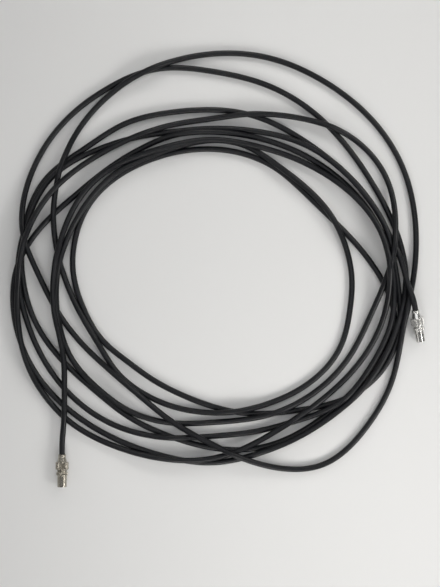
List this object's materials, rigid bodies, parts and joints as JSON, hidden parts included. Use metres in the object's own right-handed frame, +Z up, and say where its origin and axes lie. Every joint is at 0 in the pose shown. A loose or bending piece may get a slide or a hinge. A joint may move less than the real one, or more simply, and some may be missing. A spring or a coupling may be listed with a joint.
{
  "type": "coaxial cable lead",
  "caption": "Long thin coaxial cable lying in a loose open coil, with a metal push-in coaxial plug with a knurled screw cap on each end.",
  "frame": {"origin": "centre of the whole lead's footprint, on the plane that it lies on", "axes": "+Z up from that plane; +Y away from plug a's tip, along the coil's longest side; +X towards plug b"},
  "size_m": [0.4231, 0.4444, 0.0215],
  "materials": {
    "jacket": "satin black PVC cable jacket",
    "nickel": "worn nickel plate, satin",
    "brass": "plain turned brass",
    "steel": "plated steel washer",
    "polythene": "natural white polythene",
    "tinned_copper": "tinned copper braid",
    "copper": "bare copper wire"
  },
  "bodies": {
    "coiled_lead": {"coil": "jacket", "lead_a": "jacket", "thrust_washer_a": "steel", "plug_shell_a": "nickel", "pin_insulator_a": "polythene", "centre_pin_a": "nickel", "braid_end_a": "tinned_copper", "dielectric_end_a": "polythene", "conductor_end_a": "copper", "lead_b": "jacket", "thrust_washer_b": "steel", "plug_shell_b": "nickel", "pin_insulator_b": "polythene", "centre_pin_b": "nickel", "braid_end_b": "tinned_copper", "dielectric_end_b": "polythene", "conductor_end_b": "copper"},
    "claw_a": {"clamp_claw_a": "brass"},
    "cap_a": {"screw_cap_a": "nickel"},
    "claw_b": {"clamp_claw_b": "brass"},
    "cap_b": {"screw_cap_b": "nickel"}
  },
  "joints": [
    {"name": "claw_slide_a", "type": "slide", "parent": "coiled_lead", "child": "claw_a", "axis": [0, 1, 0], "range_m": [0, 0.004]},
    {"name": "cap_turn_a", "type": "hinge", "parent": "claw_a", "child": "cap_a", "pos_m": [-0.1573, -0.1892, 0.0067], "axis": [0, 1, 0], "range_deg": [0, 1440]},
    {"name": "claw_slide_b", "type": "slide", "parent": "coiled_lead", "child": "claw_b", "axis": [-0.1967, 0.9582, 0.2079], "range_m": [0, 0.004]},
    {"name": "cap_turn_b", "type": "hinge", "parent": "claw_b", "child": "cap_b", "pos_m": [0.2004, -0.0429, 0.0117], "axis": [-0.1967, 0.9582, 0.2079], "range_deg": [0, 1440]}
  ],
  "couplings": [
    {"joint": "cap_turn_a", "follows": "claw_slide_a", "rad_per_m": 6283},
    {"joint": "cap_turn_b", "follows": "claw_slide_b", "rad_per_m": 6283}
  ]
}
